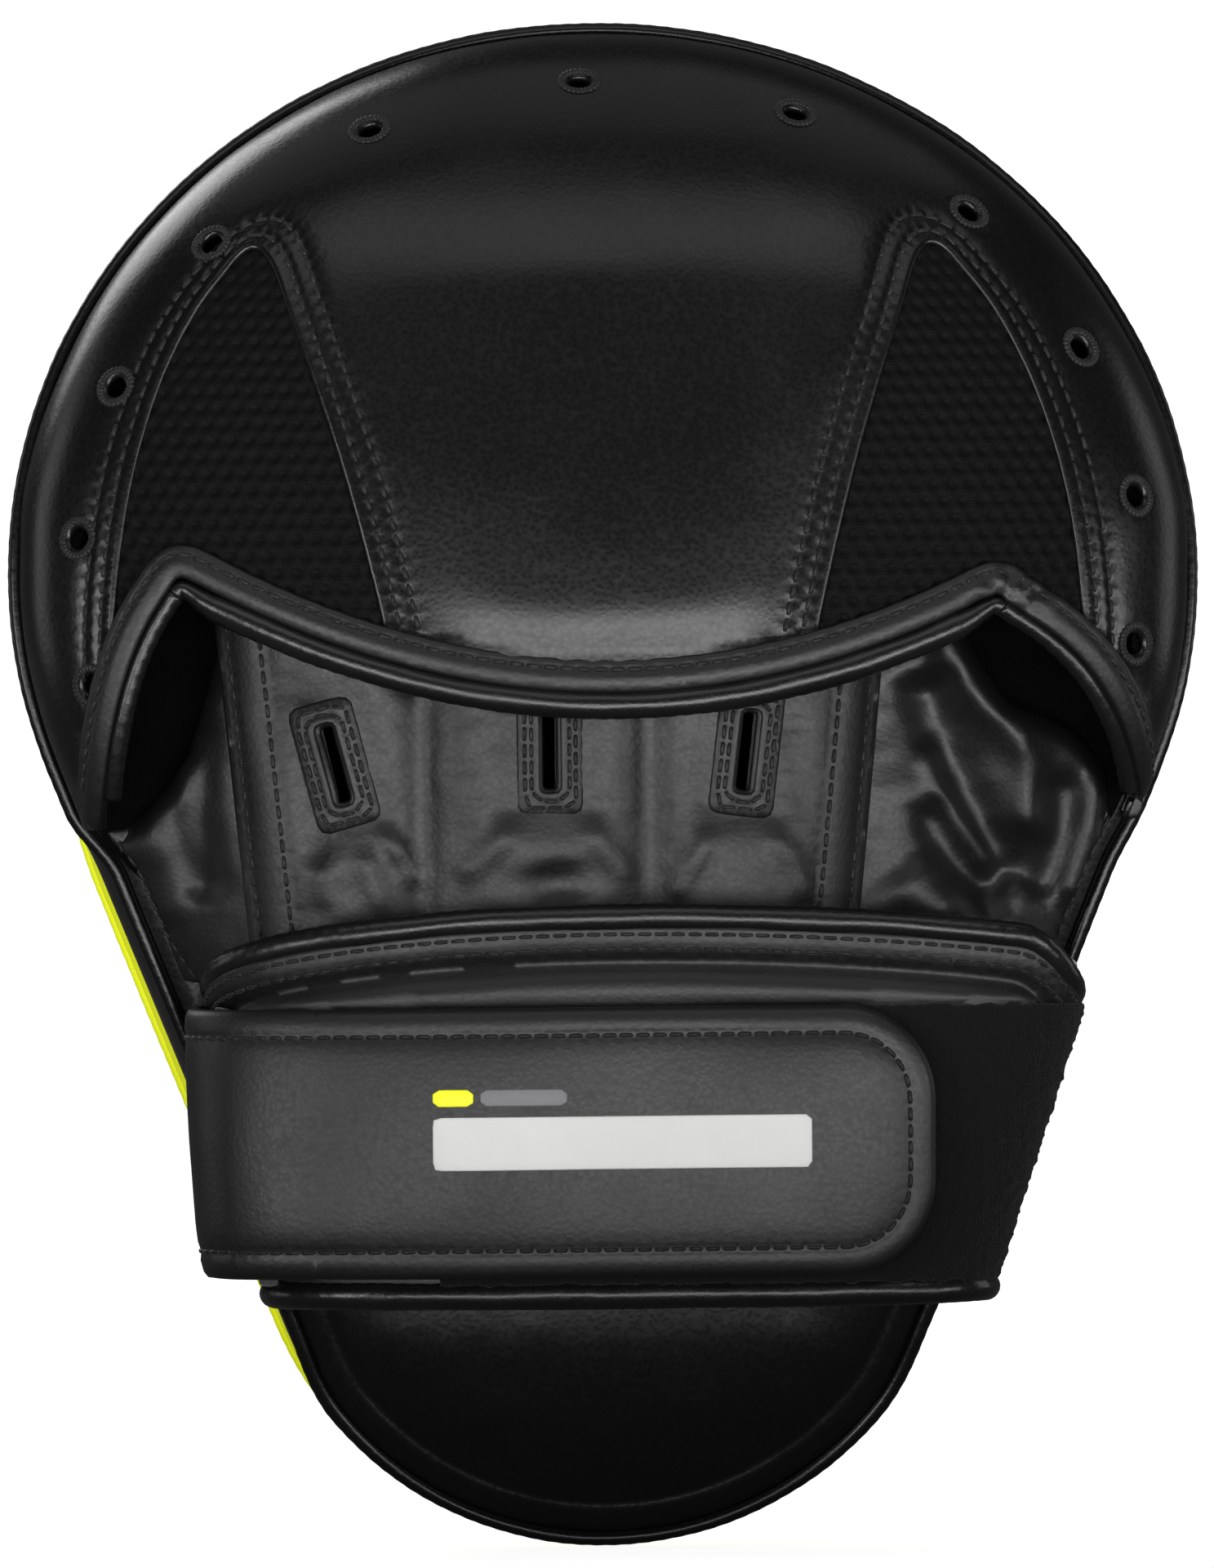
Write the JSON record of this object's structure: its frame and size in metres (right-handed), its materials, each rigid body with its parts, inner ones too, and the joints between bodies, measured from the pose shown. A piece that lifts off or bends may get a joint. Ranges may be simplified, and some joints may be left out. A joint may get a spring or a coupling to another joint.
{
  "type": "focus mitt",
  "caption": "Curved padded focus mitt for a left hand, with a finger hood, a knuckle panel and a wrist cuff that closes with a hook-and-loop strap.",
  "frame": {"origin": "centre of the striking face's surface", "axes": "+Z towards the fingertip end, +Y out of the striking face, +X towards the thumb's side"},
  "size_m": [0.194, 0.0964, 0.25],
  "materials": {
    "striking_face": "satin black synthetic leather",
    "face_foam": "closed-cell foam",
    "impact_core": "dense closed-cell foam rubber",
    "back_foam": "closed-cell foam",
    "palm_panel": "pebble-grained synthetic leather, satin",
    "edge_band": "fluorescent yellow synthetic leather",
    "side_wall": "pebble-grained synthetic leather, satin",
    "front_welt": "fluorescent yellow synthetic leather",
    "back_welt": "pebble-grained synthetic leather, satin",
    "back_cover": "pebble-grained synthetic leather, satin",
    "little_finger_mesh": "open spacer mesh",
    "thumb_mesh": "open spacer mesh",
    "hood_foam": "closed-cell foam",
    "hood_lining": "knitted or woven nylon",
    "hem_binding": "pebble-grained synthetic leather, satin",
    "little_finger_edge_binding": "pebble-grained synthetic leather, satin",
    "thumb_edge_binding": "pebble-grained synthetic leather, satin",
    "vent_eyelets": "embroidered thread ring",
    "knuckle_panel": "pebble-grained synthetic leather, satin",
    "knuckle_pads": "closed-cell foam",
    "knuckle_lining": "knitted or woven nylon",
    "slot_frames": "pebble-grained synthetic leather, satin",
    "palm_lining": "knitted or woven nylon",
    "little_finger_gusset": "pebble-grained synthetic leather, satin",
    "thumb_gusset": "pebble-grained synthetic leather, satin",
    "cuff_shell": "pebble-grained synthetic leather, satin",
    "cuff_foam": "closed-cell foam",
    "cuff_lining": "knitted or woven nylon",
    "cuff_upper_binding": "pebble-grained synthetic leather, satin",
    "cuff_lower_binding": "pebble-grained synthetic leather, satin",
    "loop_field": "fuzzy loop pile",
    "elastic_web": "knitted elastic",
    "strap_anchor": "pebble-grained synthetic leather, satin",
    "strap_root": "pebble-grained synthetic leather, satin",
    "strap_tab": "pebble-grained synthetic leather, satin",
    "strap_lining": "knitted or woven nylon",
    "hook_patch": "moulded hooks on tape",
    "blank_label": "plain pale patch"
  },
  "bodies": {
    "mitt": {"striking_face": "striking_face", "face_foam": "face_foam", "impact_core": "impact_core", "back_foam": "back_foam", "palm_panel": "palm_panel", "edge_band": "edge_band", "side_wall": "side_wall", "front_welt": "front_welt", "back_welt": "back_welt", "back_cover": "back_cover", "little_finger_mesh": "little_finger_mesh", "thumb_mesh": "thumb_mesh", "hood_foam": "hood_foam", "hood_lining": "hood_lining", "hem_binding": "hem_binding", "little_finger_edge_binding": "little_finger_edge_binding", "thumb_edge_binding": "thumb_edge_binding", "vent_eyelets": "vent_eyelets", "knuckle_panel": "knuckle_panel", "knuckle_pads": "knuckle_pads", "knuckle_lining": "knuckle_lining", "slot_frames": "slot_frames", "palm_lining": "palm_lining", "little_finger_gusset": "little_finger_gusset", "thumb_gusset": "thumb_gusset", "cuff_shell": "cuff_shell", "cuff_foam": "cuff_foam", "cuff_lining": "cuff_lining", "cuff_upper_binding": "cuff_upper_binding", "cuff_lower_binding": "cuff_lower_binding", "loop_field": "loop_field", "elastic_web": "elastic_web", "strap_anchor": "strap_anchor"},
    "strap_root": {"strap_root": "strap_root"},
    "strap_tab": {"strap_tab": "strap_tab", "strap_lining": "strap_lining", "hook_patch": "hook_patch", "blank_label": "blank_label"}
  },
  "joints": [
    {"name": "strap_swing", "type": "hinge", "parent": "mitt", "child": "strap_root", "pos_m": [-0.062, -0.05857, -0.0573], "axis": [0, 0, -1], "range_deg": [0, 105]},
    {"name": "strap_peel", "type": "hinge", "parent": "strap_root", "child": "strap_tab", "pos_m": [-0.036, -0.06818, -0.0573], "axis": [0, 0, -1], "range_deg": [0, 90]}
  ]
}
